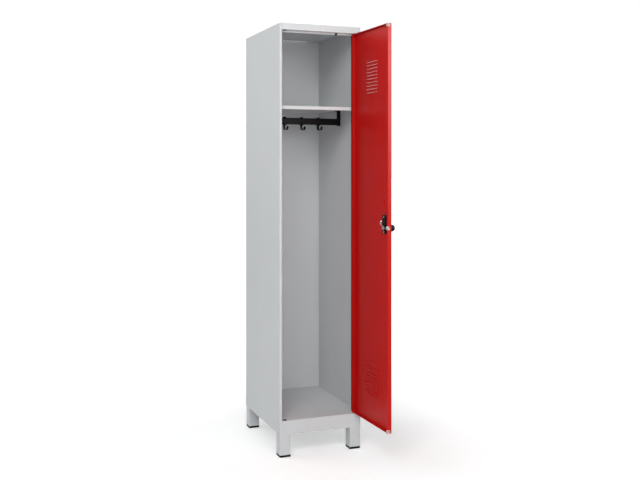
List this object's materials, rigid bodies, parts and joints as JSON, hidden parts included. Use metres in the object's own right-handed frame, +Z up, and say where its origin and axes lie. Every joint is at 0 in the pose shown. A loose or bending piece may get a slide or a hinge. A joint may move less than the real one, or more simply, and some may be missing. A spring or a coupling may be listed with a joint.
{
  "type": "school locker",
  "caption": "Tall single-door steel locker on square legs, with a hat shelf, coat rail with sliding hooks, louvred pin-hung door and turn-knob bolt lock.",
  "frame": {"origin": "middle of the front left foot's sole, on the floor", "axes": "+Z up, -Y out of the locker's front, +X to the right of someone facing the locker; the rest pose has the door standing open at 91.5 degrees"},
  "size_m": [0.3999, 0.8274, 1.85],
  "materials": {
    "grey_paint": "satin powder coat, light grey",
    "red_paint": "satin-gloss powder coat, deep red",
    "black_plastic": "moulded, fine satin",
    "pale_plastic": "moulded, natural off-white",
    "black_rubber": "matt",
    "chrome": "bright plated",
    "zinc_steel": "bright zinc plated"
  },
  "bodies": {
    "cabinet": {"side_panel_left": "grey_paint", "side_panel_right": "grey_paint", "rear_panel": "grey_paint", "roof_panel": "grey_paint", "sill_rail": "grey_paint", "floor_panel": "grey_paint", "hat_shelf": "grey_paint", "leg_front_left": "grey_paint", "leg_front_right": "grey_paint", "leg_rear_left": "grey_paint", "leg_rear_right": "grey_paint", "foot_cap_front_left": "black_plastic", "foot_cap_front_right": "black_plastic", "foot_cap_rear_left": "black_plastic", "foot_cap_rear_right": "black_plastic", "hinge_bush_top_left": "black_plastic", "hinge_bush_bottom_left": "black_plastic", "hinge_bush_top_right": "black_plastic", "hinge_bush_bottom_right": "black_plastic", "door_buffer": "black_rubber", "coat_rail": "black_plastic", "rail_bracket_left": "black_plastic", "rail_bracket_right": "black_plastic"},
    "door": {"door_panel": "red_paint", "hinge_edge_strip": "black_rubber", "corner_cap_bottom": "pale_plastic", "corner_cap_top": "pale_plastic", "hinge_pin_bottom": "red_paint", "hinge_pin_top": "red_paint", "lock_screw_bottom": "zinc_steel", "lock_screw_top": "zinc_steel", "lock_case": "black_plastic", "knob_rosette": "black_plastic", "bolt_sleeve": "chrome"},
    "knob_and_lever": {"knob": "black_plastic", "lock_spindle": "zinc_steel", "cam_lever": "chrome", "spindle_nut": "chrome"},
    "key_plug": {"key_plug": "chrome"},
    "latch_bolt": {"latch_bolt": "zinc_steel"},
    "hook_left": {"coat_hook_left": "black_plastic"},
    "hook_middle": {"coat_hook_middle": "black_plastic"},
    "hook_right": {"coat_hook_right": "black_plastic"}
  },
  "joints": [
    {"name": "door_swing", "type": "hinge", "parent": "cabinet", "child": "door", "pos_m": [0.3232, -0.01755, 0.985], "axis": [0, 0, 1], "range_deg": [-91.5, 23.5]},
    {"name": "knob_turn", "type": "hinge", "parent": "door", "child": "knob_and_lever", "pos_m": [0.3391, -0.30973, 0.986], "axis": [0.9997, 0.0262, 0], "range_deg": [0, 90]},
    {"name": "key_turn", "type": "hinge", "parent": "knob_and_lever", "child": "key_plug", "pos_m": [0.36909, -0.30895, 0.986], "axis": [0.9997, 0.0262, 0], "range_deg": [0, 90]},
    {"name": "bolt_slide", "type": "slide", "parent": "door", "child": "latch_bolt", "axis": [0.0262, -0.9997, 0], "range_m": [0, 0.01]},
    {"name": "hook_left_slide", "type": "slide", "parent": "cabinet", "child": "hook_left", "axis": [1, 0, 0], "range_m": [-0.03, 0.03]},
    {"name": "hook_middle_slide", "type": "slide", "parent": "cabinet", "child": "hook_middle", "axis": [1, 0, 0], "range_m": [-0.03, 0.03]},
    {"name": "hook_right_slide", "type": "slide", "parent": "cabinet", "child": "hook_right", "axis": [1, 0, 0], "range_m": [-0.03, 0.03]}
  ],
  "couplings": [
    {"joint": "bolt_slide", "follows": "knob_turn", "m_per_rad": 0.00636}
  ]
}
